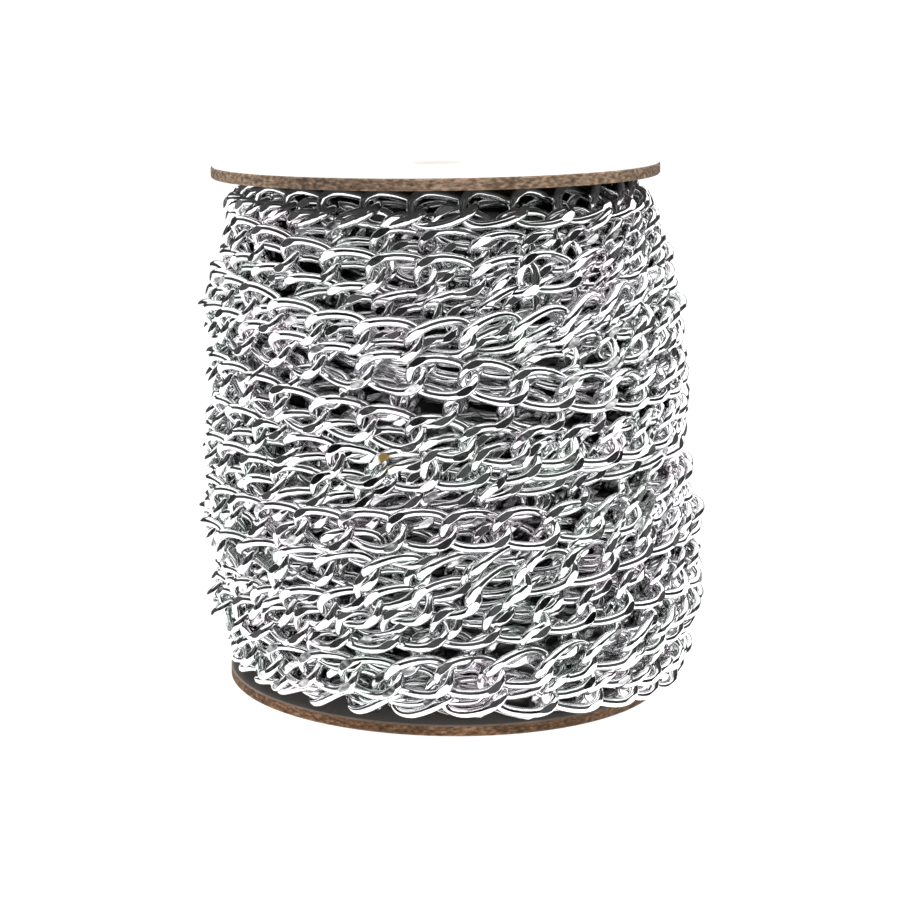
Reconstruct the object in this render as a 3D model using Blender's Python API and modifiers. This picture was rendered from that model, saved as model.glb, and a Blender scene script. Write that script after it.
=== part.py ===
"""A spool of curb chain: two round fibreboard flanges on a paper core tube, with the chain wound between them.

The floor is Z = 0, the front is the -Y side, and angles run round the spool from the front towards +X.
Run it with blender --background --python part.py, or from Blender's text editor.
"""

from math import cos, degrees, hypot, radians, sin, tan, atan2

import bpy
import numpy as np
from mathutils import Vector

MM = 0.001

# Flanges: fibreboard discs with an arbor hole, the upper one set aslant and a little to the left
FLANGE_RADIUS = 63.5 * MM
FLANGE_THICKNESS = 3.2 * MM
RIM_CHAMFER = 0.4 * MM
ARBOR_RADIUS = 8.0 * MM
SPOOL_HEIGHT = 149.1 * MM
TOP_OFFSET_X = -5.2 * MM
TOP_TILT = radians(1.33)

# Core tube, between the flanges
TUBE_RADIUS = 38.0 * MM
TUBE_WALL = 3.0 * MM

# Clearance between pieces that touch
SEAT_GAP = 0.3 * MM

# Points of a turned profile nearer than this become one
MERGE_THRESHOLD = 0.01 * MM

# Steps round each turned piece; the winding has three for each of up to 31 links
FLANGE_STEPS = 96
TUBE_STEPS = 64
STEPS_PER_LINK = 3
MOST_LINKS = 31
WINDING_STEPS = STEPS_PER_LINK * MOST_LINKS

# Outer turns of chain, from the bottom up: the height of each one's middle at seven angles over the front
FRONT_ANGLES = (-60, -40, -20, 0, 20, 40, 60)
TURN_HEIGHTS_MM = (
    (9, 9.4, 10.8, 12.6, 11.4, 10.2, 8.7),
    (15, 16.2, 16.3, 17.8, 20.5, 22.5, 24.5),
    (24.5, 27.5, 29, 31, 34, 35.7, 38.5),
    (29.3, 32.5, 35.5, 38.8, 45.2, 49, 51.8),
    (44, 45.7, 45.8, 46, 49, 51.8, 54.5),
    (54.5, 56, 56.9, 57.6, 58.1, 58.7, 61),
    (68.3, 66, 66, 69, 71.3, 73, 75.5),
    (79.5, 76, 73, 73.6, 76, 76.6, 78),
    (92, 88.3, 85.8, 82, 79.3, 79.2, 79),
    (106.5, 102, 99.7, 98.7, 95.5, 92.5, 91),
    (110, 107, 104.3, 103, 102, 103.5, 105.5),
    (114, 111, 108, 107.5, 109.5, 113.5, 117.8),
    (120.5, 119, 115.8, 113.9, 116.2, 119.6, 121.7),
    (130.8, 126.7, 124, 123.5, 124.2, 125, 125.5),
    (135, 133.4, 131.2, 130.3, 129.5, 129.3, 131.5),
    (139, 140, 141, 141.5, 141.4, 141.6, 141.8),
)

# How far each of those turns is sunk below the outermost surface, at five angles over the front
SINK_ANGLES = (-90, -50, 0, 50, 90)
TURN_SINKS_MM = (
    (1, 0, 0, 0, 0),
    (3, 0.5, 0, 0, 1.5),
    (0, 1, 2, 1, 0),
    (5, 1, 1.8, 0, 0),
    (0, 0, 0.5, 3, 3),
    (1.5, 0, 0, 0, 1),
    (0, 0, 3, 2.5, 1),
    (2, 1, 0.5, 2, 0),
    (2, 0, 0, 0, 1),
    (0, 0, 0, 0, 0),
    (0, 3, 4, 2, 0),
    (1, 0, 0, 0, 1),
    (2, 1, 3, 3, 0),
    (1, 0, 0, 0, 0.5),
    (1, 3, 3, 1, 0.5),
    (0, 0, 0, 0, 0),
)

# Outermost surface of the winding, by height: its radius, and where its centre lies along X
BULGE_HEIGHTS_MM = (0, 15, 25, 50, 75, 100, 110, 115, 125, 135, 145)
BULGE_RADII_MM = (66, 71.5, 73.5, 73.3, 71, 70.5, 69.5, 68, 65, 62.6, 60)
SWAY_HEIGHTS_MM = (3, 30, 50, 75, 100, 120, 145)
SWAY_MM = (3.6, 2.2, 0, -0.7, -2, -2.2, -4.1)

# Links of those turns: the angle of one link's middle on the front of each turn, the spacing of its links there, how far
# to each side of the front that holds, their spacing across the back, and half their depth
TURN_PHASES = (3.6, 2.6, 2.5, -1.2, 0, 5.8, -1.8, 2, -0.7, -0.5, 13.3, -1, 3.3, 2.2, 3.3, 1.5)
TURN_PITCHES_MM = (14.1, 13.4, 14, 13.7, 14.4, 14, 13.6, 13.8, 13.7, 13.6, 13.6, 13.9, 13.9, 13.6, 13.7, 13.8)
FRONT_REACH = 84
BACK_PITCH = 14.0 * MM
LINK_HALF_DEPTH = 2.9 * MM

# Relief of each link: its wires lie this far above and below its middle, or this share of the way to the grooves beside
# the turn, and are nearer together where two links cross. Depths are below the flat faces of the crossings, and a window
# is shallower where its wires are nearer than at its full depth
WIRE_OFFSET = 4.7 * MM
WIRE_SHARE = 0.64
CROSSING_SHARE = 0.5
WIRE_DEPTH = 1.7 * MM
WINDOW_DEPTH = 6.5 * MM
WINDOW_HALF = 0.19
FULL_DEPTH_OFFSET = 3.2 * MM

# Depth of the groove between two turns, as a share of the distance between them and within limits, and depths at the
# lower and upper ends
GROOVE_SHARE = 0.58
GROOVE_DEPTHS = (2.5 * MM, 7.0 * MM)
LOWER_END_DEPTH = 2.0 * MM
UPPER_END_DEPTH = 4.3 * MM

# Angles over which a turn's height is averaged, so that it bends smoothly
SOFTENING_ANGLES = (-12, -6, 0, 6, 12)

# Blanks that are turned first and shaped afterwards. The tube's has its ends at 0 and 1. The winding's has its outer
# points one unit apart in height, its bore at half their radius, and a division between the two
TUBE_BLANK_HEIGHT = 1.0
BLANK_UNIT = 0.01
BLANK_RADIUS = 1.0
BLANK_DIVIDE = 0.75
POINTS_PER_TURN = 4


def clear_scene():
    for thing in list(bpy.data.objects):
        bpy.data.objects.remove(thing, do_unlink=True)


def make_collection(name):
    collection = bpy.data.collections.new(name)
    bpy.context.scene.collection.children.link(collection)
    return collection


def make_material(name, colour, roughness, metallic=0.0):
    material = bpy.data.materials.new(name)
    material.use_nodes = True
    shader = material.node_tree.nodes["Principled BSDF"]
    shader.inputs["Base Color"].default_value = (*colour, 1.0)
    shader.inputs["Roughness"].default_value = roughness
    shader.inputs["Metallic"].default_value = metallic
    return material


def turn_profile(name, profile, steps):
    """An object whose closed profile, given as (radius, height) down its outer side, is turned about Z."""
    count = len(profile)
    mesh = bpy.data.meshes.new(name)
    edges = [(i, (i + 1) % count) for i in range(count)]
    mesh.from_pydata([(radius, 0.0, height) for radius, height in profile], edges, [])
    turned = bpy.data.objects.new(name, mesh)
    screw = turned.modifiers.new("Turn", "SCREW")
    screw.steps = steps
    screw.render_steps = steps
    screw.use_merge_vertices = True
    screw.merge_threshold = MERGE_THRESHOLD
    return turned


def fixed_mesh(turned):
    """The turned object's evaluated mesh, so that its points can be moved."""
    bpy.context.scene.collection.objects.link(turned)
    bpy.context.view_layer.update()
    mesh = bpy.data.meshes.new_from_object(turned.evaluated_get(bpy.context.evaluated_depsgraph_get()))
    bpy.data.objects.remove(turned, do_unlink=True)
    return mesh


def add_mesh(collection, name, mesh, material, sharp_angle):
    mesh.name = name
    mesh.materials.clear()
    mesh.materials.append(material)
    mesh.shade_smooth()
    mesh.set_sharp_from_angle(angle=radians(sharp_angle))
    piece = bpy.data.objects.new(name, mesh)
    collection.objects.link(piece)
    return piece


def axis_x(height):
    """Where the core's leaning axis lies along X."""
    return TOP_OFFSET_X * height / SPOOL_HEIGHT


def ceiling(x):
    """Height of the upper flange's inner face, less the seat gap."""
    inner = SPOOL_HEIGHT - FLANGE_THICKNESS / cos(TOP_TILT)
    return inner + tan(TOP_TILT) * (x - TOP_OFFSET_X) - SEAT_GAP


def flange_mesh(name):
    """A disc with an arbor hole and softened rim edges, lying on Z = 0."""
    profile = (
        (ARBOR_RADIUS, FLANGE_THICKNESS),
        (FLANGE_RADIUS - RIM_CHAMFER, FLANGE_THICKNESS),
        (FLANGE_RADIUS, FLANGE_THICKNESS - RIM_CHAMFER),
        (FLANGE_RADIUS, RIM_CHAMFER),
        (FLANGE_RADIUS - RIM_CHAMFER, 0.0),
        (ARBOR_RADIUS, 0.0),
    )
    return fixed_mesh(turn_profile(name, profile, FLANGE_STEPS))


def make_flanges(collection, material):
    add_mesh(collection, "flange_bottom", flange_mesh("flange_bottom"), material, 30)
    top = add_mesh(collection, "flange_top", flange_mesh("flange_top"), material, 30)
    # The tilt lifts the right side, and the outer face's centre stays at the spool's height
    top.rotation_euler.y = -TOP_TILT
    normal = Vector((-sin(TOP_TILT), 0.0, cos(TOP_TILT)))
    top.location = Vector((TOP_OFFSET_X, 0.0, SPOOL_HEIGHT)) - normal * FLANGE_THICKNESS


def make_core_tube(collection, material):
    """The paper tube leans with the spool's axis and ends at both flanges' inner faces."""
    inside = TUBE_RADIUS - TUBE_WALL
    top = TUBE_BLANK_HEIGHT
    profile = ((inside, top), (TUBE_RADIUS, top), (TUBE_RADIUS, 0.0), (inside, 0.0))
    mesh = fixed_mesh(turn_profile("core_tube", profile, TUBE_STEPS))
    floor = FLANGE_THICKNESS + SEAT_GAP
    for vertex in mesh.vertices:
        at_top = vertex.co.z > TUBE_BLANK_HEIGHT / 2
        height = ceiling(TOP_OFFSET_X + vertex.co.x) if at_top else floor
        vertex.co.x += axis_x(height)
        vertex.co.z = height
    add_mesh(collection, "core_tube", mesh, material, 40)


def over_front(angles, values, angle):
    """A value at any angle: read between those of the front, with the back midway between its two ends."""
    angle = (angle + 180) % 360 - 180
    back = (values[0] + values[-1]) / 2
    return float(np.interp(angle, (-180, *angles, 180), (back, *values, back)))


def turn_height(turn, angle):
    heights = [over_front(FRONT_ANGLES, TURN_HEIGHTS_MM[turn], angle + part) for part in SOFTENING_ANGLES]
    return MM * sum(heights) / len(heights)


def crest_radius(turn, angle, height):
    """Radius of a turn's outer face about the winding's centre at that height."""
    bulge = float(np.interp(height / MM, BULGE_HEIGHTS_MM, BULGE_RADII_MM))
    return MM * (bulge - over_front(SINK_ANGLES, TURN_SINKS_MM[turn], angle))


def sway(height):
    return MM * float(np.interp(height / MM, SWAY_HEIGHTS_MM, SWAY_MM))


def link_angles(turn):
    """Angles of the links' middles round one turn: by its own spacing on the front, and evenly across the back."""
    radius = crest_radius(turn, 0.0, turn_height(turn, 0.0)) - LINK_HALF_DEPTH
    step = degrees(MM * TURN_PITCHES_MM[turn] / radius)
    reach = int(FRONT_REACH / step) + 2
    spaced = [TURN_PHASES[turn] + i * step for i in range(-reach, reach + 1)]
    front = [angle for angle in spaced if abs(angle) <= FRONT_REACH]
    gap = front[0] + 360 - front[-1]
    steps = min(round(radians(gap) * radius / BACK_PITCH), MOST_LINKS + 1 - len(front))
    back = [front[-1] + gap * i / steps for i in range(1, steps)]
    return sorted((angle + 180) % 360 - 180 for angle in front + back)


def stations(turn):
    """Angles round one turn, each marked as a crossing or not: for each link one crossing and two or three in its window."""
    middles = link_angles(turn)
    count = len(middles)
    spare = WINDING_STEPS - STEPS_PER_LINK * count
    places = []
    for i, middle in enumerate(middles):
        before = (middle - middles[i - 1]) % 360
        after = (middles[(i + 1) % count] - middle) % 360
        places.append((middle - before / 2, True))
        places.append((middle - WINDOW_HALF * before, False))
        if (i + 1) * spare // count > i * spare // count:
            places.append((middle, False))
        places.append((middle + WINDOW_HALF * after, False))
    return places


def edge_height(turn, side, angle):
    """Height midway to the turn below (side -1) or above (side 1), or of the winding's end."""
    beside = turn + side
    height = turn_height(turn, angle)
    if beside < 0:
        return FLANGE_THICKNESS + SEAT_GAP
    if beside == len(TURN_HEIGHTS_MM):
        radius = crest_radius(turn, angle, height) - UPPER_END_DEPTH
        return ceiling(sway(height) + radius * sin(radians(angle)))
    return (height + turn_height(beside, angle)) / 2


def groove_point(groove, station, places):
    """Angle, height and radius of the groove below a turn, or of one of the winding's ends."""
    turns = [turn for turn in (groove - 1, groove) if 0 <= turn < len(places)]
    angle = sum(places[turn][station][0] for turn in turns) / len(turns)
    if groove == 0:
        height = edge_height(0, -1, angle)
        return angle, height, crest_radius(0, angle, height) - LOWER_END_DEPTH
    if groove == len(places):
        height = edge_height(groove - 1, 1, angle)
        return angle, height, crest_radius(groove - 1, angle, height) - UPPER_END_DEPTH
    low, high = (turn_height(turn, angle) for turn in turns)
    height = (low + high) / 2
    depth = min(max(GROOVE_SHARE * (high - low), GROOVE_DEPTHS[0]), GROOVE_DEPTHS[1])
    return angle, height, min(crest_radius(turn, angle, height) for turn in turns) - depth


def outer_point(index, station, places):
    """Angle, height and radius of one outer point: a groove, or a link's lower wire, window or crossing, or upper wire."""
    turn, part = divmod(index, POINTS_PER_TURN)
    if part == 0:
        return groove_point(turn, station, places)
    angle, crossing = places[turn][station]
    middle = turn_height(turn, angle)
    rooms = [abs(edge_height(turn, side, angle) - middle) for side in (-1, 1)]
    offsets = [min(WIRE_OFFSET, WIRE_SHARE * room) * (CROSSING_SHARE if crossing else 1) for room in rooms]
    if part == 2:
        depth = 0.0 if crossing else WINDOW_DEPTH * min(1.0, min(offsets) / FULL_DEPTH_OFFSET)
        height = middle
    else:
        depth = 0.0 if crossing else WIRE_DEPTH
        height = middle - offsets[0] if part == 1 else middle + offsets[1]
    return angle, height, crest_radius(turn, angle, height) - depth


def make_wound_chain(collection, material):
    """The winding is one turned solid with its bore, and each outer turn is a ridge with a pit for each link's window."""
    turns = range(len(TURN_HEIGHTS_MM))
    places = [stations(turn) for turn in turns]
    top_index = POINTS_PER_TURN * len(turns)
    outer = [(BLANK_RADIUS, index * BLANK_UNIT) for index in range(top_index, -1, -1)]
    bore = [(BLANK_RADIUS / 2, 0.0), (BLANK_RADIUS / 2, top_index * BLANK_UNIT)]
    mesh = fixed_mesh(turn_profile("wound_chain", outer + bore, WINDING_STEPS))
    for vertex in mesh.vertices:
        index = round(vertex.co.z / BLANK_UNIT)
        angle = degrees(atan2(vertex.co.x, -vertex.co.y))
        if hypot(vertex.co.x, vertex.co.y) > BLANK_DIVIDE * BLANK_RADIUS:
            station = round((angle + 180) / 360 * WINDING_STEPS) % WINDING_STEPS
            angle, height, radius = outer_point(index, station, places)
            centre = sway(height)
        else:
            radius = TUBE_RADIUS + SEAT_GAP
            height = ceiling(TOP_OFFSET_X + radius * sin(radians(angle))) if index else FLANGE_THICKNESS + SEAT_GAP
            centre = axis_x(height)
        vertex.co.x = centre + radius * sin(radians(angle))
        vertex.co.y = -radius * cos(radians(angle))
        vertex.co.z = height
    add_mesh(collection, "wound_chain", mesh, material, 60)


def centre_on_origin(collection):
    """Moves the pieces sideways, so that the middle of the whole spool's footprint is the origin."""
    bpy.context.view_layer.update()
    corners = [piece.matrix_world @ vertex.co for piece in collection.objects for vertex in piece.data.vertices]
    middle_x = (min(c.x for c in corners) + max(c.x for c in corners)) / 2
    middle_y = (min(c.y for c in corners) + max(c.y for c in corners)) / 2
    for piece in collection.objects:
        piece.location.x -= middle_x
        piece.location.y -= middle_y


def main():
    clear_scene()
    spool = make_collection("chain_spool")
    board = make_material("fibreboard", (0.23, 0.15, 0.09), 0.8)
    paper = make_material("kraft_paper", (0.36, 0.25, 0.15), 0.9)
    metal = make_material("bright_plated_metal", (0.82, 0.82, 0.84), 0.12, metallic=1.0)
    make_flanges(spool, board)
    make_core_tube(spool, paper)
    make_wound_chain(spool, metal)
    centre_on_origin(spool)


main()
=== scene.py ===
"""The looks of a spool of curb chain: real twisted links wound in layers, between fibreboard flanges."""

from math import copysign, cos, pi, radians, sin

import bmesh
import bpy
import numpy as np
from mathutils import Matrix, Vector

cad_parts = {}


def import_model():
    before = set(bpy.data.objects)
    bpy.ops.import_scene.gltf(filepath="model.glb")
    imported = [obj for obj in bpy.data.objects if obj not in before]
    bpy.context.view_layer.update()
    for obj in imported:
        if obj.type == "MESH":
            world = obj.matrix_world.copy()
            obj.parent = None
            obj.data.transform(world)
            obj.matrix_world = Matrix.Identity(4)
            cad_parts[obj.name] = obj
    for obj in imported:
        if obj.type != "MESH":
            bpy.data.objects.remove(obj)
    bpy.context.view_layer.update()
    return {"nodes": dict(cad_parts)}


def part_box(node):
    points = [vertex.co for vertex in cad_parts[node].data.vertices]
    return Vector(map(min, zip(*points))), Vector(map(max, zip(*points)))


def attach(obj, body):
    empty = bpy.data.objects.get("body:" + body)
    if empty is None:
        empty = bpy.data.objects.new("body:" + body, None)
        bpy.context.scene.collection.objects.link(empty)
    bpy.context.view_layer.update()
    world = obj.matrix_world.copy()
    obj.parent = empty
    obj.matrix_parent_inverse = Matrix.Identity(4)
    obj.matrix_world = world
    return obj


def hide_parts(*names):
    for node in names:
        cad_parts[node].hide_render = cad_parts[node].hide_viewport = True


MM = 0.001

# The curb link: outer size, wire, spacing where a turn has none of its own, twist of its ends, exponent
# of its superellipse outline (2 is an ellipse), skew that fills its upper left and lower right corners,
# half the depth between its two flat sides, and the slack when they are cut and told from its round faces
LINK_LENGTH = 19.4 * MM
LINK_WIDTH = 12.2 * MM
WIRE_RADIUS = 1.35 * MM
LINK_PITCH = 14.0 * MM
LINK_TWIST = radians(38)
LINK_ROUNDNESS = 2.75
LINK_SKEW = 0.11
FLAT_HALF_DEPTH = 2.9 * MM
CUT_SLACK = 1e-7
FLAT_SLACK = 1e-6

# Loose play of each link: roll, pitch and yaw in degrees, and its shift
OUTER_PLAY = (6.0, 3.0, 3.0, 0.25 * MM)
INNER_PLAY = (14.0, 6.0, 5.0, 0.6 * MM)

# Outer turns from the bottom up: the height of each one's middle at seven angles over the front. They are
# those of part.py, but the first and the last turn's links lean back and lie up to 1.7 mm lower or higher
FRONT_ANGLES = (-60, -40, -20, 0, 20, 40, 60)
TURN_HEIGHTS_MM = (
    (7.6, 7.7, 9.3, 12.1, 12.9, 10.4, 8.4),
    (15, 16.2, 16.3, 17.8, 20.5, 22.5, 24.5),
    (24.5, 27.5, 29, 31, 34, 35.7, 38.5),
    (29.3, 32.5, 35.5, 38.8, 45.2, 49, 51.8),
    (44, 45.7, 45.8, 46, 49, 51.8, 54.5),
    (54.5, 56, 56.9, 57.6, 58.1, 58.7, 61),
    (68.3, 66, 66, 69, 71.3, 73, 75.5),
    (79.5, 76, 73, 73.6, 76, 76.6, 78),
    (92, 88.3, 85.8, 82, 79.3, 79.2, 79),
    (106.5, 102, 99.7, 98.7, 95.5, 92.5, 91),
    (110, 107, 104.3, 103, 102, 103.5, 105.5),
    (114, 111, 108, 107.5, 109.5, 113.5, 117.8),
    (120.5, 119, 115.8, 113.9, 116.2, 119.6, 121.7),
    (130.8, 126.7, 124, 123.5, 124.2, 125, 125.5),
    (135, 133.4, 131.2, 130.3, 129.5, 129.3, 131.5),
    (139.2, 139.8, 140.4, 140.7, 140.9, 141.3, 141.8),
)

# For each of those turns: how far it is sunk at five angles
SINK_ANGLES = (-90, -50, 0, 50, 90)
TURN_SINKS_MM = (
    (1, 0, 0, 0, 0),
    (3, 0.5, 0, 0, 1.5),
    (0, 1, 2, 1, 0),
    (5, 1, 1.8, 0, 0),
    (0, 0, 0.5, 3, 3),
    (1.5, 0, 0, 0, 1),
    (0, 0, 3, 2.5, 1),
    (2, 1, 0.5, 2, 0),
    (2, 0, 0, 0, 1),
    (0, 0, 0, 0, 0),
    (0, 3, 4, 2, 0),
    (1, 0, 0, 0, 1),
    (2, 1, 3, 3, 0),
    (1, 0, 0, 0, 0.5),
    (1, 3, 3, 1, 0.5),
    (0, 0, 0, 0, 0),
)

# For each of those turns: the degrees by which its links lean back at four angles
POSE_ANGLES = (-60, -20, 20, 60)
TURN_LEANS = (
    (80, 76, 5, -30),
    (5, 5, -5, -20),
    (15, 15, 13, 10),
    (0, -5, 0, 5),
    (-10, -30, -30, 0),
    (0, 0, 0, 0),
    (0, 0, 22, 20),
    (0, 0, 18, 15),
    (0, 0, 0, 0),
    (0, 0, 0, 0),
    (0, 0, 0, 0),
    (0, -10, -28, -15),
    (-10, -25, -25, -10),
    (0, 0, 0, 5),
    (0, 5, 5, 0),
    (36, 36, 36, 36),
)

# For each of those turns: the degrees by which its links rise to the right of its line at those angles
TURN_RISES = (
    (-3, 10, 0, 0),
    (0, 0, 5, 6),
    (0, 0, 0, 0),
    (0, 0, 12, 5),
    (0, 8, 8, 0),
    (0, 0, 0, 0),
    (0, 0, 0, 0),
    (0, 0, 0, 0),
    (0, 0, 0, 0),
    (0, 0, 0, 0),
    (0, 0, 0, 0),
    (0, 0, 8, 8),
    (0, 0, 0, 0),
    (0, 0, 0, 0),
    (0, 0, 0, 0),
    (3, 3, 3, 3),
)

# For each of those turns: the angle of one link's middle on the front, and the spacing of its links
# there. Then how far the front reaches to each side, and how far round the last turn ends
TURN_PHASES = (
    3.6, 2.6, 2.5, -1.2, 0, 5.8, -1.8, 2,
    -0.7, -0.5, 13.3, -1, 3.3, 2.2, 3.3, 1.5,
)
TURN_PITCHES_MM = (
    14.1, 13.4, 14, 13.7, 14.4, 14, 13.6, 13.8,
    13.7, 13.6, 13.6, 13.9, 13.9, 13.6, 13.7, 13.8,
)
FRONT_REACH = 84
LAST_TURN_END = 186.0

# Angle past which each turn climbs to the next across the back, the angles over which its line is
# averaged, and how far to each side of a link its direction is read
CLIMB_START = 150.0
SOFTENING_ANGLES = (-12, -6, 0, 6, 12)
DIRECTION_STEP = 4.0

# Outermost surface of the winding, by height: its radius, and where its centre lies along X from the
# lower flange's. Then the outer layer's distance from it
BULGE_HEIGHTS_MM = (0, 15, 25, 50, 75, 100, 110, 115, 125, 135, 145)
BULGE_RADII_MM = (66, 71.5, 73.5, 73.3, 71, 70.5, 69.5, 68, 65, 62.6, 60)
SWAY_HEIGHTS_MM = (3, 30, 50, 75, 100, 120, 145)
SWAY_MM = (3.6, 2.2, 0, -0.7, -2, -2.2, -4.1)
SURFACE_MARGIN = 1.15 * MM

# The boards' faces towards the chain: the way to the chain, the height at the frame's middle, the slope
# to the right, and the board's own middle along X and Y. Then the boards' radius
BOARD_FACES = (
    (1, 3.2 * MM, 0.0, (-1.1 * MM, -0.3 * MM)),
    (-1, 146.04 * MM, 0.0232, (-6.2 * MM, -0.3 * MM)),
)
BOARD_RADIUS = 63.5 * MM

# Detail of the links in the outer and the second layer: points along the wire, and bevel resolution
OUTER_DETAIL = (38, 4)
SECOND_DETAIL = (26, 3)

# Seeds of the two layers, and the second one's depth: it lies in the valleys between outer turns
OUTER_SEED = 7
SECOND_SEED = 21
SECOND_DEPTH = 3.7 * MM

# The deeper layers, which only climb: each one's depth, the height of its lowest turn, its number of
# turns and its detail. Then their rise in a turn, how far they stray from it, at how many places in a
# turn, with how many places to spare at each end, and the heights that they keep to
THIRD_LAYER = {
    "name": "third_layer",
    "depth": 7.6 * MM,
    "lowest": 7.4 * MM,
    "turns": 15,
    "detail": (22, 2),
    "seed": 22,
}
FOURTH_LAYER = {
    "name": "fourth_layer",
    "depth": 11.4 * MM,
    "lowest": 12.0 * MM,
    "turns": 14,
    "detail": (20, 1),
    "seed": 23,
}
INNER_RISE = 9.2 * MM
INNER_STRAY = 2.6 * MM
STRAYS_PER_TURN = 5
SPARE_STRAYS = 4
INNER_HEIGHTS = (9.0 * MM, 139.0 * MM)

# Where the layers under the outer one start, round the back
START_ANGLES = (-180.0, -170.0)

# The core under the fourth layer: its depth, its two ends, its corners round and its cuts from end to
# end, and the ribs that wind up it
CORE_DEPTH = 14.5 * MM
CORE_HEIGHTS = (4.5 * MM, 142.0 * MM)
CORE_CORNERS = 72
CORE_CUTS = 56
RIB_HEIGHT = 1.0 * MM
RIB_SPACING = 9.6 * MM

# Plating of the outer, second, deeper and core chain: its brightness, lower in the deeper layers and the
# core as painted shade, and roughness
OUTER_PLATING = (0.94, 0.1)
SECOND_PLATING = (0.92, 0.1)
DEEP_PLATING_SHADED = (0.72, 0.16)
CORE_PLATING_SHADED = (0.25, 0.4)

# Noises of the plating, as scale and detail: its colour casts, its clouding, with the shares of the
# roughness between which it goes, and its shallow waves
CAST_NOISE = (55.0, 2.0)
METAL_CASTS = (
    (0.36, (0.95, 0.985, 0.965)),
    (0.47, (0.99, 0.99, 1.0)),
    (0.55, (0.99, 0.99, 1.0)),
    (0.66, (1.0, 0.965, 0.99)),
)
CLOUD_NOISE = (90.0, 3.0)
CLOUD_RANGE = (0.3, 0.7)
CLOUD_SHARES = (0.7, 1.4)
WAVE_NOISE = (420.0, 1.0)
WAVE_HEIGHT = 0.06 * MM

# The one tarnished spot, on the left of the front: its place, its radius and the share of it that is
# full, its ragged edge, its colour and what it adds to the roughness
SPOT_ANGLE = -13.4
SPOT_HEIGHT = 76.7 * MM
SPOT_RADIUS = 2.3 * MM
SPOT_FULL = 0.6
SPOT_RAGGED = 1.5 * MM
SPOT_NOISE = (700.0, 3.0)
SPOT_COLOUR = (0.33, 0.22, 0.08)
SPOT_ROUGHNESS = 0.35

# The boards: the way along Z that their painted face looks, browns along a fibrous noise, and the colour
# and glow of their inner face, whose colour is dark as painted shade. The lower one's glow stands for light
# that the chain throws back on it
TOP_BOARD = {
    "painted_way": 1.0,
    "browns": ((0.30, (0.085, 0.053, 0.033)), (0.50, (0.235, 0.155, 0.10)), (0.72, (0.55, 0.38, 0.25))),
    "shaded_inner_colour": (0.045, 0.042, 0.039),
    "inner_glow": 0.0,
    "edge_light_and_shade": False,
}
BOTTOM_BOARD = {
    "painted_way": -1.0,
    "browns": ((0.30, (0.08, 0.040, 0.016)), (0.50, (0.235, 0.118, 0.056)), (0.72, (0.57, 0.315, 0.165))),
    "shaded_inner_colour": (0.11, 0.103, 0.095),
    "inner_glow": 0.035,
    # The lower board's edge gets a painted highlight on the corner towards the chain and painted shade to
    # the right
    "edge_light_and_shade": True,
}

# Noises of the boards, as scale and detail: fibres, pressed flat by a stretch, with their bump and its
# strength, and broad patches, with their share. Then the boards' roughness
FIBRE_NOISE = (620.0, 5.0)
FIBRE_STRETCH = (1.0, 1.0, 2.2)
FIBRE_HEIGHT = 0.5 * MM
FIBRE_STRENGTH = 0.5
PATCH_NOISE = (28.0, 1.0)
PATCH_SHARE = 0.5
BOARD_ROUGHNESS = 0.8

# How far a surface faces along Z to count as a board's face. Then, for a board with painted light and shade
# on its edge, the facing over which a pale corner fades in as a painted highlight, the corner's share and
# colour, and the reach, share and colour of painted shade that darkens the edge to the right
FACE_LIMIT = 0.9
LIT_CORNER_FACING = (-0.15, -0.5)
LIT_CORNER_SHARE = 0.8
LIT_CORNER_COLOUR = (0.47, 0.38, 0.32)
SHADE_REACH = (20.0 * MM, 62.0 * MM)
SHADE_SHARE = 0.75
SHADE_COLOUR = (0.045, 0.038, 0.018)

# White paint, along the same noise. It runs into the arbor holes, this far from their axes, and glows
# there, as it is overexposed
PAINT_WHITES = ((0.3, (0.65, 0.645, 0.63)), (0.7, (0.8, 0.8, 0.79)))
PAINTED_HOLE_RADIUS = 8.6 * MM
PAINTED_HOLE_GLOW = 0.6
GLOW_COLOUR = (0.97, 0.91, 0.85)

# Paper of the core tube
PAPER_NOISE = (400.0, 4.0)
PAPER_BROWNS = ((0.0, (0.30, 0.20, 0.12)), (1.0, (0.42, 0.30, 0.19)))
PAPER_ROUGHNESS = 0.9

# Camera, fitted to the flange rims in the photograph: focal length in pixels of its 900 pixel frame,
# distance from the lower flange's axis, height, downward pitch and roll
FRAME_PIXELS = 900
FOCAL_PIXELS = 2262.2
CAMERA_DISTANCE = 645.5 * MM
CAMERA_HEIGHT = 190.7 * MM
CAMERA_PITCH = 0.1907
CAMERA_ROLL = 0.0134
SENSOR_WIDTH_MM = 36.0
CLIP_START = 10.0 * MM

# Tent: white, with a dark band that is higher and wider on the camera's side. The band's middle and half
# width are those at the back and at the front, as the sine of an elevation, and change over BAND_FRONT.
# Then its soft edge, its levels along a range of the noise, its wave and noise, and the tent's strength
# and shares on its left and right
BAND_MIDDLE = (0.08, 0.285)
BAND_HALF = (0.25, 0.512)
BAND_FRONT = (-0.5, 0.5)
BAND_EDGE = (0.82, 1.12)
BAND_LEVELS = (0.0, 0.07)
BAND_LEVEL_RANGE = (0.35, 0.65)
BAND_WAVE = 0.14
BAND_NOISE = (2.5, 2.0)
TENT_STRENGTH = 1.9
TENT_SIDES = (0.75, 0.97)

# Lamp over the spool, which the polished links don't mirror
OVERHEAD_SIZE = 1.2
OVERHEAD_ENERGY = 12.0
OVERHEAD_PLACE = (0.0, -0.5, 1.6)
OVERHEAD_TILT = radians(17)

# Floor: its size, colour and glow
FLOOR_RADIUS = 12.0
FLOOR_CORNERS = 96
FLOOR_COLOUR = (0.08, 0.08, 0.08)
FLOOR_GLOW = 1.03


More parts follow.
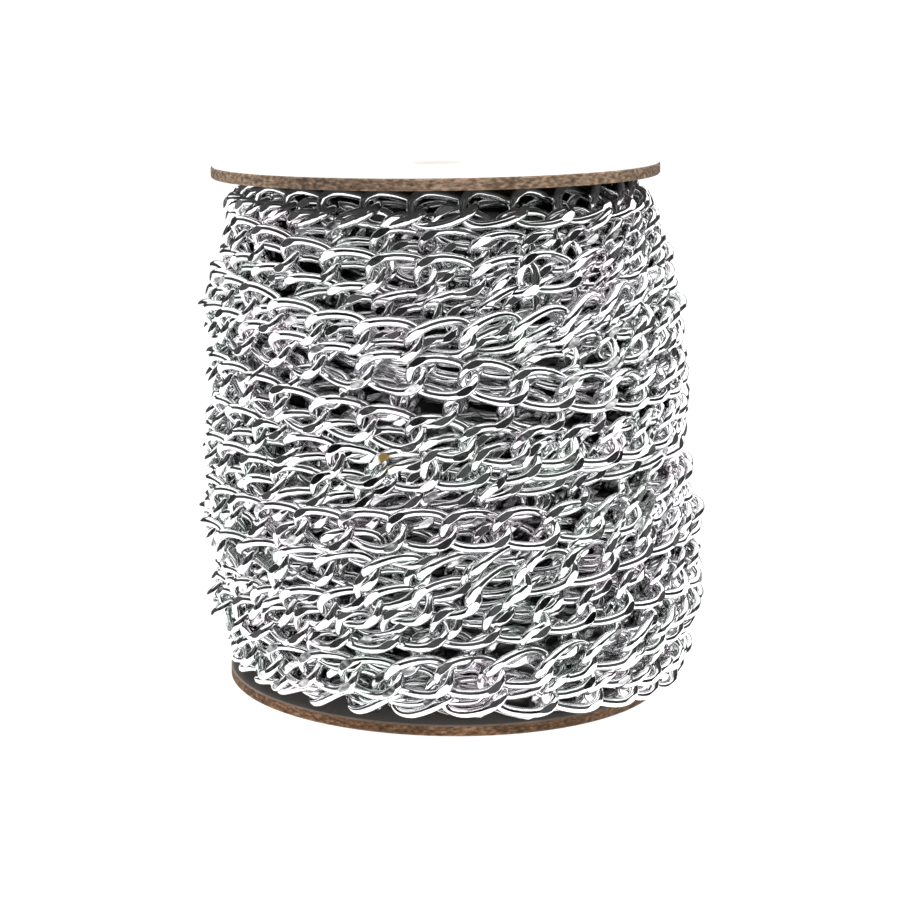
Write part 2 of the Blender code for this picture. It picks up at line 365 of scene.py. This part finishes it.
def link_wire(count):
    """The middle line of one link: x runs along the chain, y across the turn, z out of the winding."""
    half_length = LINK_LENGTH / 2 - WIRE_RADIUS
    half_width = LINK_WIDTH / 2 - WIRE_RADIUS
    power = 2 / LINK_ROUNDNESS
    points = []
    for i in range(count):
        turn = 2 * pi * (i + 0.5) / count
        along = copysign(abs(cos(turn)) ** power, cos(turn))
        across = copysign(abs(sin(turn)) ** power, sin(turn))
        y = half_width * across * (1 - LINK_SKEW * along * copysign(1, across))
        points.append((half_length * along, y * cos(LINK_TWIST * along), -y * sin(LINK_TWIST * along)))
    return points


def swept_wire(name, points, resolution):
    """A closed round wire along the points, as a mesh."""
    curve = bpy.data.curves.new(name, "CURVE")
    curve.dimensions = "3D"
    curve.bevel_depth = WIRE_RADIUS
    curve.bevel_resolution = resolution
    spline = curve.splines.new("POLY")
    spline.points.add(len(points) - 1)
    for target, point in zip(spline.points, points):
        target.co = (*point, 1.0)
    spline.use_cyclic_u = True
    holder = bpy.data.objects.new(name, curve)
    bpy.context.scene.collection.objects.link(holder)
    bpy.context.view_layer.update()
    mesh = bpy.data.meshes.new_from_object(holder.evaluated_get(bpy.context.evaluated_depsgraph_get()))
    bpy.data.objects.remove(holder, do_unlink=True)
    return mesh


def flatten_link(mesh):
    """Cuts the front and back of the link flat, as a curb chain is ground or rolled."""
    shape = bmesh.new()
    shape.from_mesh(mesh)
    for side in (1, -1):
        everything = list(shape.verts) + list(shape.edges) + list(shape.faces)
        cut = bmesh.ops.bisect_plane(
            shape,
            geom=everything,
            dist=CUT_SLACK,
            plane_co=(0, 0, side * FLAT_HALF_DEPTH),
            plane_no=(0, 0, side),
            clear_outer=True,
        )
        edges = [item for item in cut["geom_cut"] if isinstance(item, bmesh.types.BMEdge)]
        bmesh.ops.edgeloop_fill(shape, edges=edges)
    bmesh.ops.recalc_face_normals(shape, faces=list(shape.faces))
    for face in shape.faces:
        face.smooth = not all(abs(abs(v.co.z) - FLAT_HALF_DEPTH) < FLAT_SLACK for v in face.verts)
    shape.to_mesh(mesh)
    shape.free()


def link_shape(name, detail):
    """Arrays of one link's points and faces, from which whole turns are made."""
    count, resolution = detail
    mesh = swept_wire(name, link_wire(count), resolution)
    flatten_link(mesh)
    points = np.zeros(len(mesh.vertices) * 3)
    mesh.vertices.foreach_get("co", points)
    corners = np.zeros(len(mesh.loops), int)
    mesh.loops.foreach_get("vertex_index", corners)
    sizes = np.zeros(len(mesh.polygons), int)
    mesh.polygons.foreach_get("loop_total", sizes)
    smooth = np.zeros(len(mesh.polygons), bool)
    mesh.polygons.foreach_get("use_smooth", smooth)
    bpy.data.meshes.remove(mesh)
    return {"points": points.reshape(-1, 3), "corners": corners, "sizes": sizes, "smooth": smooth}


def points_at(shape, place):
    """The link's points at a place, a 4 x 4 matrix, moved up or down where they would be in a board."""
    points = shape["points"] @ place[:3, :3].T + place[:3, 3]
    for way, height, slope, middle in BOARD_FACES:
        over = np.hypot(points[:, 0] - middle[0], points[:, 1] - middle[1]) < BOARD_RADIUS
        depths = way * (height + slope * points[over, 0] - points[over, 2])
        points[:, 2] += way * depths.max(initial=0.0)
    return points


def joined_links(name, shape, places):
    """One mesh that holds a link at each place."""
    count = len(places)
    points = np.concatenate([points_at(shape, place) for place in places])
    offsets = np.repeat(np.arange(count) * len(shape["points"]), len(shape["corners"]))
    corners = np.tile(shape["corners"], count) + offsets
    sizes = np.tile(shape["sizes"], count)
    starts = np.concatenate(([0], np.cumsum(sizes)[:-1]))
    mesh = bpy.data.meshes.new(name)
    mesh.vertices.add(len(points))
    mesh.vertices.foreach_set("co", points.ravel())
    mesh.loops.add(len(corners))
    mesh.loops.foreach_set("vertex_index", corners)
    mesh.polygons.add(len(sizes))
    mesh.polygons.foreach_set("loop_start", starts)
    mesh.polygons.foreach_set("use_smooth", np.tile(shape["smooth"], count))
    mesh.update(calc_edges=True)
    mesh.validate()
    piece = bpy.data.objects.new(name, mesh)
    bpy.context.scene.collection.objects.link(piece)
    return piece


def softened(angle, knots, values):
    """A value read between knots and averaged over the angles near it, so that it bends smoothly."""
    near = [float(np.interp(angle + part, knots, values)) for part in SOFTENING_ANGLES]
    return sum(near) / len(near)


def track(angles, rows):
    """Knots and values of one line through every turn: level round its back, then climbing to the next."""
    knots = []
    values = []
    for turn, row in enumerate(rows):
        back = (row[0] + row[-1]) / 2
        knots += [360.0 * turn + angle for angle in (-CLIMB_START, *angles, CLIMB_START)]
        values += [back, *row, back]
    return knots, values


def winding_point(centre_x, angle, height, depth):
    """A point at a depth under the winding's outermost surface."""
    radius = MM * float(np.interp(height / MM, BULGE_HEIGHTS_MM, BULGE_RADII_MM)) - depth
    across = centre_x + MM * float(np.interp(height / MM, SWAY_HEIGHTS_MM, SWAY_MM))
    turn = radians(angle)
    return Vector((across + radius * sin(turn), -radius * cos(turn), height))


def link_place(path, angle, pose, play, random):
    """The matrix that sets a link on a path, in a pose of two angles (lean, rise), with some loose play."""
    ahead = (path(angle + DIRECTION_STEP) - path(angle - DIRECTION_STEP)).normalized()
    turn = radians(angle)
    outward = Vector((sin(turn), -cos(turn), 0.0))
    outward = (outward - outward.dot(ahead) * ahead).normalized()
    up = outward.cross(ahead)
    lean, rise = pose
    roll, pitch, yaw, shift = play
    place = Matrix((ahead, up, outward)).transposed().to_4x4()
    place.translation = path(angle) + Vector(random.normal(0.0, shift, 3))
    place = place @ Matrix.Rotation(radians(rise + random.normal(0.0, yaw)), 4, "Z")
    place = place @ Matrix.Rotation(radians(random.normal(0.0, pitch)), 4, "Y")
    place = place @ Matrix.Rotation(radians(-lean + random.normal(0.0, roll)), 4, "X")
    return np.array(place)


def outer_angles(radius_at):
    """Angles of all the outer links: a pitch apart on each front, and evenly spaced across the back."""
    fronts = []
    for turn, phase in enumerate(TURN_PHASES):
        step = MM * TURN_PITCHES_MM[turn] / radius_at(360.0 * turn) * 180 / pi
        reach = range(int(-FRONT_REACH / step) - 1, int(FRONT_REACH / step) + 2)
        within = [i for i in reach if abs(phase + i * step) <= FRONT_REACH]
        fronts.append([360.0 * turn + phase + i * step for i in within])
    angles = []
    for turn, front in enumerate(fronts):
        angles += front
        following = fronts[turn + 1][0] if turn + 1 < len(fronts) else 360.0 * turn + LAST_TURN_END
        gap = radians(following - front[-1]) * radius_at(360.0 * turn + 180.0)
        links = max(1, round(gap / LINK_PITCH))
        angles += [front[-1] + (following - front[-1]) * i / links for i in range(1, links)]
    start = radians(fronts[0][0] + 180.0) * radius_at(-180.0)
    links = round(start / LINK_PITCH)
    step = (fronts[0][0] + 180.0) / links
    return [fronts[0][0] - step * i for i in range(links, 0, -1)] + angles


def sink_at(angle, height):
    """How far the outer layer is sunk at a place on the spool, read between the turns above and below."""
    front = (angle + 180) % 360 - 180
    heights = [np.interp(front, FRONT_ANGLES, row) for row in TURN_HEIGHTS_MM]
    sinks = [np.interp(front, SINK_ANGLES, row) for row in TURN_SINKS_MM]
    return MM * float(np.interp(height / MM, heights, sinks))


def half_depth(lean):
    """How far a link's outer edge lies out from its middle when it leans back by a number of degrees."""
    wire = WIRE_RADIUS + abs(sin(radians(lean))) * (LINK_WIDTH / 2 - WIRE_RADIUS)
    return max(FLAT_HALF_DEPTH, wire + (FLAT_HALF_DEPTH - WIRE_RADIUS) / 2 * cos(radians(lean)))


def outer_turns(centre_x):
    """The outer layer, one piece for each turn, with its front links where the photograph has them."""
    random = np.random.default_rng(OUTER_SEED)
    shape = link_shape("outer_link", OUTER_DETAIL)
    height_knots, heights = track(FRONT_ANGLES, TURN_HEIGHTS_MM)
    sink_knots, sinks = track(SINK_ANGLES, TURN_SINKS_MM)
    pose_knots, leans = track(POSE_ANGLES, TURN_LEANS)
    rises = track(POSE_ANGLES, TURN_RISES)[1]

    def path(angle):
        height = MM * softened(angle, height_knots, heights)
        sink = MM * softened(angle, sink_knots, sinks)
        reach = half_depth(softened(angle, pose_knots, leans))
        return winding_point(centre_x, angle, height, SURFACE_MARGIN + reach + sink)

    def radius_at(angle):
        height = softened(angle, height_knots, heights)
        return MM * float(np.interp(height, BULGE_HEIGHTS_MM, BULGE_RADII_MM)) - FLAT_HALF_DEPTH

    places = [[] for _ in TURN_HEIGHTS_MM]
    for angle in outer_angles(radius_at):
        turn = min(max(int((angle + 180.0) // 360.0), 0), len(places) - 1)
        pose = (softened(angle, pose_knots, leans), softened(angle, pose_knots, rises))
        places[turn].append(link_place(path, angle, pose, OUTER_PLAY, random))
    return [joined_links(f"chain_turn_{i + 1:02d}", shape, turn) for i, turn in enumerate(places)]


def spaced_turns(name, path, shape, turns, centre_x, random):
    """Links set one pitch apart along a path, in one piece for each turn."""
    pieces = []
    angle = random.uniform(*START_ANGLES)
    for turn in range(turns):
        places = []
        while angle < 360.0 * turn + 180.0:
            places.append(link_place(path, angle, (0.0, 0.0), INNER_PLAY, random))
            point = path(angle)
            angle += LINK_PITCH / Vector((point.x - centre_x, point.y)).length * 180 / pi
        pieces.append(joined_links(f"{name}_{turn + 1:02d}", shape, places))
    return pieces


def second_turns(centre_x):
    """The layer just under the outer one, in the valleys between its turns, one piece for each turn."""
    random = np.random.default_rng(SECOND_SEED)
    shape = link_shape("second_layer", SECOND_DETAIL)
    pairs = list(zip(TURN_HEIGHTS_MM[:-1], TURN_HEIGHTS_MM[1:]))
    rows = [tuple((low + high) / 2 for low, high in zip(*pair)) for pair in pairs]
    knots, heights = track(FRONT_ANGLES, rows)

    def path(angle):
        height = MM * softened(angle, knots, heights)
        depth = FLAT_HALF_DEPTH + SECOND_DEPTH + sink_at(angle, height)
        return winding_point(centre_x, angle, height, depth)

    return spaced_turns("second_layer", path, shape, len(rows), centre_x, random)


def inner_turns(centre_x, layer):
    """One of the deeper layers, one piece for each turn."""
    shape = link_shape(layer["name"], layer["detail"])
    random = np.random.default_rng(layer["seed"])
    strays = random.uniform(-INNER_STRAY, INNER_STRAY, layer["turns"] * STRAYS_PER_TURN + 2 * SPARE_STRAYS)
    lowest, highest = INNER_HEIGHTS

    def path(angle):
        height = layer["lowest"] + INNER_RISE * angle / 360.0
        stray = angle / (360.0 / STRAYS_PER_TURN) + SPARE_STRAYS
        height += float(np.interp(stray, range(len(strays)), strays))
        height = min(max(height, lowest), highest)
        depth = FLAT_HALF_DEPTH + layer["depth"] + sink_at(angle, height)
        return winding_point(centre_x, angle, height, depth)

    return spaced_turns(layer["name"], path, shape, layer["turns"], centre_x, random)


def chain_core(centre_x):
    """What lies under the fourth layer: a plain ribbed surface of chain, dark as painted shade, closed at
    both ends.
    """
    mesh = bpy.data.meshes.new("chain_core")
    shape = bmesh.new()
    bmesh.ops.create_cone(shape, cap_ends=True, segments=CORE_CORNERS, radius1=1.0, radius2=1.0, depth=1.0)
    low, high = CORE_HEIGHTS
    sides = [edge for edge in shape.edges if abs(edge.verts[0].co.z - edge.verts[1].co.z) > 0.5]
    bmesh.ops.subdivide_edges(shape, edges=sides, cuts=CORE_CUTS)
    for vertex in shape.verts:
        share = vertex.co.z + 0.5
        height = low + share * (high - low)
        angle = float(np.degrees(np.arctan2(vertex.co.x, -vertex.co.y)))
        rib = RIB_HEIGHT * cos(2 * pi * (height / RIB_SPACING + angle / 360.0))
        vertex.co = winding_point(centre_x, angle, height, CORE_DEPTH + rib)
    for face in shape.faces:
        face.smooth = True
    shape.to_mesh(mesh)
    shape.free()
    piece = bpy.data.objects.new("chain_core", mesh)
    bpy.context.scene.collection.objects.link(piece)
    return piece


def new_material(name):
    material = bpy.data.materials.new(name)
    material.use_nodes = True
    tree = material.node_tree
    return material, tree, tree.nodes["Principled BSDF"]


def place_node(tree):
    """Where a point lies in the frame."""
    return tree.nodes.new("ShaderNodeTexCoord").outputs["Object"]


def parts_node(tree, vector):
    """The X, Y and Z of a vector, by name."""
    node = tree.nodes.new("ShaderNodeSeparateXYZ")
    tree.links.new(vector, node.inputs["Vector"])
    return node.outputs


def math_node(tree, operation, *values):
    """A maths node whose inputs are numbers or the outputs of other nodes."""
    node = tree.nodes.new("ShaderNodeMath")
    node.operation = operation
    for socket, value in zip(node.inputs, values):
        if isinstance(value, (int, float)):
            socket.default_value = value
        else:
            tree.links.new(value, socket)
    return node.outputs["Value"]


def range_node(tree, value, before, after, smooth=False):
    """A value mapped from one range to another, and held at its ends."""
    node = tree.nodes.new("ShaderNodeMapRange")
    node.interpolation_type = "SMOOTHSTEP" if smooth else "LINEAR"
    tree.links.new(value, node.inputs["Value"])
    for name, number in zip(("From Min", "From Max", "To Min", "To Max"), (*before, *after)):
        node.inputs[name].default_value = number
    return node.outputs["Result"]


def noise_node(tree, vector, scale, detail):
    """A noise texture, whose outputs are its value and its colour."""
    node = tree.nodes.new("ShaderNodeTexNoise")
    node.inputs["Scale"].default_value = scale
    node.inputs["Detail"].default_value = detail
    tree.links.new(vector, node.inputs["Vector"])
    return node.outputs


def ramp_node(tree, value, stops):
    """Colours along a value, given as (position, colour) pairs from low to high."""
    node = tree.nodes.new("ShaderNodeValToRGB")
    elements = node.color_ramp.elements
    while len(elements) < len(stops):
        elements.new(0.5)
    for element, (position, colour) in zip(elements, stops):
        element.position = position
        element.color = (*colour, 1)
    tree.links.new(value, node.inputs["Fac"])
    return node.outputs["Color"]


def mixed_colour(tree, factor, under, over):
    """A node's colour, covered by a second one, plain or of another node, where the factor is 1."""
    node = tree.nodes.new("ShaderNodeMix")
    node.data_type = "RGBA"
    tree.links.new(factor, node.inputs["Factor"])
    tree.links.new(under, node.inputs["A"])
    if isinstance(over, tuple):
        node.inputs["B"].default_value = (*over, 1)
    else:
        tree.links.new(over, node.inputs["B"])
    return node.outputs["Result"]


def add_bump(tree, shader, value, height, strength=1.0):
    """Roughens the shader's surface by a value."""
    node = tree.nodes.new("ShaderNodeBump")
    node.inputs["Strength"].default_value = strength
    node.inputs["Distance"].default_value = height
    tree.links.new(value, node.inputs["Height"])
    tree.links.new(node.outputs["Normal"], shader.inputs["Normal"])


def spot_mask(tree, place, spot):
    """1 in the tarnished spot, 0 away from it, and ragged between."""
    away = tree.nodes.new("ShaderNodeVectorMath")
    away.operation = "DISTANCE"
    tree.links.new(place, away.inputs[0])
    away.inputs[1].default_value = spot
    fleck = math_node(tree, "MULTIPLY", noise_node(tree, place, *SPOT_NOISE)["Fac"], SPOT_RAGGED)
    ragged = math_node(tree, "ADD", away.outputs["Value"], fleck)
    limits = (SPOT_RADIUS + SPOT_RAGGED / 2, SPOT_RADIUS * SPOT_FULL + SPOT_RAGGED / 2)
    return range_node(tree, ragged, limits, (0, 1))


def chain_metal(name, level, roughness, spot=None):
    """Bright plating with faint green and pink casts, a clouded finish and maybe one tarnished spot."""
    material, tree, shader = new_material(name)
    place = place_node(tree)
    # A lower level darkens the deeper layers and the core as painted shade
    casts = [(position, [level * part for part in colour]) for position, colour in METAL_CASTS]
    tint = ramp_node(tree, noise_node(tree, place, *CAST_NOISE)["Fac"], casts)
    cloud = noise_node(tree, place, *CLOUD_NOISE)["Fac"]
    finish = range_node(tree, cloud, CLOUD_RANGE, [roughness * share for share in CLOUD_SHARES])
    if spot is not None:
        inside = spot_mask(tree, place, spot)
        tint = mixed_colour(tree, inside, tint, SPOT_COLOUR)
        finish = math_node(tree, "ADD", finish, math_node(tree, "MULTIPLY", inside, SPOT_ROUGHNESS))
    tree.links.new(tint, shader.inputs["Base Color"])
    tree.links.new(finish, shader.inputs["Roughness"])
    add_bump(tree, shader, noise_node(tree, place, *WAVE_NOISE)["Fac"], WAVE_HEIGHT)
    shader.inputs["Metallic"].default_value = 1.0
    return material


def fibre_noise(tree, place):
    stretch = tree.nodes.new("ShaderNodeMapping")
    stretch.inputs["Scale"].default_value = FIBRE_STRETCH
    tree.links.new(place, stretch.inputs["Vector"])
    return noise_node(tree, stretch.outputs["Vector"], *FIBRE_NOISE)["Fac"]


def distance_from_axis(tree, place, middle):
    """How far a point is from the upright line through a board's middle."""
    flat = tree.nodes.new("ShaderNodeMapping")
    flat.inputs["Location"].default_value = (-middle.x, -middle.y, 0.0)
    flat.inputs["Scale"].default_value = (1.0, 1.0, 0.0)
    tree.links.new(place, flat.inputs["Vector"])
    length = tree.nodes.new("ShaderNodeVectorMath")
    length.operation = "LENGTH"
    tree.links.new(flat.outputs["Vector"], length.inputs[0])
    return length.outputs["Value"]


def edge_light_and_shade(tree, place, outward, brown):
    """A board's edge with a pale corner on the chain's side, a painted highlight, and painted shade
    darkening it to the right.
    """
    # Painted highlight: paler where the edge turns towards the chain. Painted shade: darker to the right
    lit_corner = range_node(tree, outward, LIT_CORNER_FACING, (0, LIT_CORNER_SHARE))
    right_shade = range_node(tree, parts_node(tree, place)["X"], SHADE_REACH, (0, SHADE_SHARE))
    return mixed_colour(tree, right_shade, mixed_colour(tree, lit_corner, brown, LIT_CORNER_COLOUR), SHADE_COLOUR)


def fibreboard(name, middle, board):
    """Pressed fibreboard: a fibrous brown edge, an inner face coloured dark as painted shade, and white
    paint outside and in holes.
    """
    material, tree, shader = new_material(name)
    place = place_node(tree)
    fibre = fibre_noise(tree, place)
    patch = math_node(tree, "SUBTRACT", noise_node(tree, place, *PATCH_NOISE)["Fac"], 0.5)
    mottle = math_node(tree, "ADD", fibre, math_node(tree, "MULTIPLY", patch, PATCH_SHARE))
    normal = tree.nodes.new("ShaderNodeNewGeometry").outputs["Normal"]
    outward = math_node(tree, "MULTIPLY", parts_node(tree, normal)["Z"], board["painted_way"])
    inner = math_node(tree, "LESS_THAN", outward, -FACE_LIMIT)
    outer = math_node(tree, "GREATER_THAN", outward, FACE_LIMIT)
    holed = math_node(tree, "LESS_THAN", distance_from_axis(tree, place, middle), PAINTED_HOLE_RADIUS)
    edge = ramp_node(tree, mottle, board["browns"])
    if board["edge_light_and_shade"]:
        edge = edge_light_and_shade(tree, place, outward, edge)
    # The inner face is coloured dark as painted shade
    bare_and_shaded = mixed_colour(tree, inner, edge, board["shaded_inner_colour"])
    white = ramp_node(tree, mottle, PAINT_WHITES)
    colour = mixed_colour(tree, math_node(tree, "MAXIMUM", outer, holed), bare_and_shaded, white)
    hole_glow = math_node(tree, "MULTIPLY", holed, PAINTED_HOLE_GLOW)
    face_glow = math_node(tree, "MULTIPLY", inner, board["inner_glow"])
    tree.links.new(colour, shader.inputs["Base Color"])
    tree.links.new(math_node(tree, "MAXIMUM", hole_glow, face_glow), shader.inputs["Emission Strength"])
    shader.inputs["Emission Color"].default_value = (*GLOW_COLOUR, 1)
    shader.inputs["Roughness"].default_value = BOARD_ROUGHNESS
    add_bump(tree, shader, fibre, FIBRE_HEIGHT, FIBRE_STRENGTH)
    return material


def kraft_paper():
    """Spiral-wound brown paper."""
    material, tree, shader = new_material("kraft_paper")
    grain = noise_node(tree, place_node(tree), *PAPER_NOISE)["Fac"]
    tree.links.new(ramp_node(tree, grain, PAPER_BROWNS), shader.inputs["Base Color"])
    shader.inputs["Roughness"].default_value = PAPER_ROUGHNESS
    return material


def dress(pieces, material):
    """Chain pieces ride on the spool, stand for the CAD winding and take its finish."""
    for piece in pieces:
        piece.data.materials.append(material)
        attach(piece, "root")
        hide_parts("wound_chain")


def middle_of(node):
    low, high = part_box(node)
    return (low + high) / 2


def paint(node, material):
    node.data.materials.clear()
    node.data.materials.append(material)


def make_camera(centre_x):
    data = bpy.data.cameras.new("camera")
    data.sensor_width = SENSOR_WIDTH_MM
    data.lens = FOCAL_PIXELS / FRAME_PIXELS * SENSOR_WIDTH_MM
    data.clip_start = CLIP_START
    camera = bpy.data.objects.new("camera", data)
    bpy.context.scene.collection.objects.link(camera)
    tilt = Matrix.Rotation(pi / 2 - CAMERA_PITCH, 4, "X") @ Matrix.Rotation(CAMERA_ROLL, 4, "Z")
    camera.matrix_world = Matrix.Translation((centre_x, -CAMERA_DISTANCE, CAMERA_HEIGHT)) @ tilt
    bpy.context.scene.camera = camera


def pale_floor():
    """A floor as bright as the background, also where the spool shades it."""
    material, _, shader = new_material("pale_floor")
    shader.inputs["Base Color"].default_value = (*FLOOR_COLOUR, 1)
    shader.inputs["Emission Color"].default_value = (1, 1, 1, 1)
    shader.inputs["Emission Strength"].default_value = FLOOR_GLOW
    shader.inputs["Roughness"].default_value = 1.0
    shader.inputs["Specular IOR Level"].default_value = 0.0
    return material


def make_stage():
    """A pale floor, which the polished links don't mirror: the tent gives them their reflections."""
    bpy.ops.mesh.primitive_circle_add(vertices=FLOOR_CORNERS, radius=FLOOR_RADIUS, fill_type="NGON")
    floor = bpy.context.active_object
    floor.name = "floor"
    floor.data.materials.append(pale_floor())
    floor.visible_glossy = False


def tent_level(tree):
    """How bright the tent is in each direction: dark within the wavy band, and white above and below it."""
    direction = tree.nodes.new("ShaderNodeTexCoord").outputs["Generated"]
    parts = parts_node(tree, direction)
    noise = noise_node(tree, direction, *BAND_NOISE)
    shift = range_node(tree, noise["Fac"], (0, 1), (-BAND_WAVE / 2, BAND_WAVE / 2))
    front = math_node(tree, "MULTIPLY", parts["Y"], -1.0)
    middle = range_node(tree, front, BAND_FRONT, BAND_MIDDLE, smooth=True)
    half = range_node(tree, front, BAND_FRONT, BAND_HALF, smooth=True)
    height = math_node(tree, "ADD", parts["Z"], shift)
    away = math_node(tree, "ABSOLUTE", math_node(tree, "SUBTRACT", height, middle))
    lit = range_node(tree, math_node(tree, "DIVIDE", away, half), BAND_EDGE, (0.0, 1.0), smooth=True)
    darkest = range_node(tree, noise["Color"], BAND_LEVEL_RANGE, BAND_LEVELS)
    share = range_node(tree, parts["X"], (-1, 1), TENT_SIDES)
    return math_node(tree, "MULTIPLY", math_node(tree, "MAXIMUM", lit, darkest), share)


def make_tent():
    """A white tent with a dark, uneven band round the horizon, which draws dark lines along the links."""
    world = bpy.data.worlds.new("white_tent")
    world.use_nodes = True
    tree = world.node_tree
    seen = tree.nodes.new("ShaderNodeLightPath").outputs["Is Camera Ray"]
    background = tree.nodes["Background"]
    tree.links.new(mixed_colour(tree, seen, tent_level(tree), (1, 1, 1)), background.inputs["Color"])
    background.inputs["Strength"].default_value = TENT_STRENGTH
    bpy.context.scene.world = world


def make_lamp():
    data = bpy.data.lights.new("overhead", "AREA")
    data.size = OVERHEAD_SIZE
    data.energy = OVERHEAD_ENERGY
    lamp = bpy.data.objects.new("overhead", data)
    lamp.location = OVERHEAD_PLACE
    lamp.rotation_euler = (OVERHEAD_TILT, 0, 0)
    lamp.visible_glossy = False
    lamp.visible_camera = False
    bpy.context.scene.collection.objects.link(lamp)


def main():
    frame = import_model()
    bottom = middle_of("flange_bottom")
    centre_x = bottom.x
    make_camera(centre_x)
    nodes = frame["nodes"]
    paint(nodes["flange_top"], fibreboard("fibreboard_top", middle_of("flange_top"), TOP_BOARD))
    paint(nodes["flange_bottom"], fibreboard("fibreboard_bottom", bottom, BOTTOM_BOARD))
    paint(nodes["core_tube"], kraft_paper())
    spot = winding_point(centre_x, SPOT_ANGLE, SPOT_HEIGHT, SURFACE_MARGIN)
    dress(outer_turns(centre_x), chain_metal("chain_metal", *OUTER_PLATING, spot))
    dress(second_turns(centre_x), chain_metal("chain_metal_inner", *SECOND_PLATING))
    # The deeper layers and the core: the same plating, darkened as painted shade
    deep_shaded = chain_metal("chain_metal_deep_shaded", *DEEP_PLATING_SHADED)
    for layer in (THIRD_LAYER, FOURTH_LAYER):
        dress(inner_turns(centre_x, layer), deep_shaded)
    dress([chain_core(centre_x)], chain_metal("chain_metal_core_shaded", *CORE_PLATING_SHADED))
    make_stage()
    make_tent()
    make_lamp()
    bpy.context.scene.view_settings.view_transform = "Standard"


main()
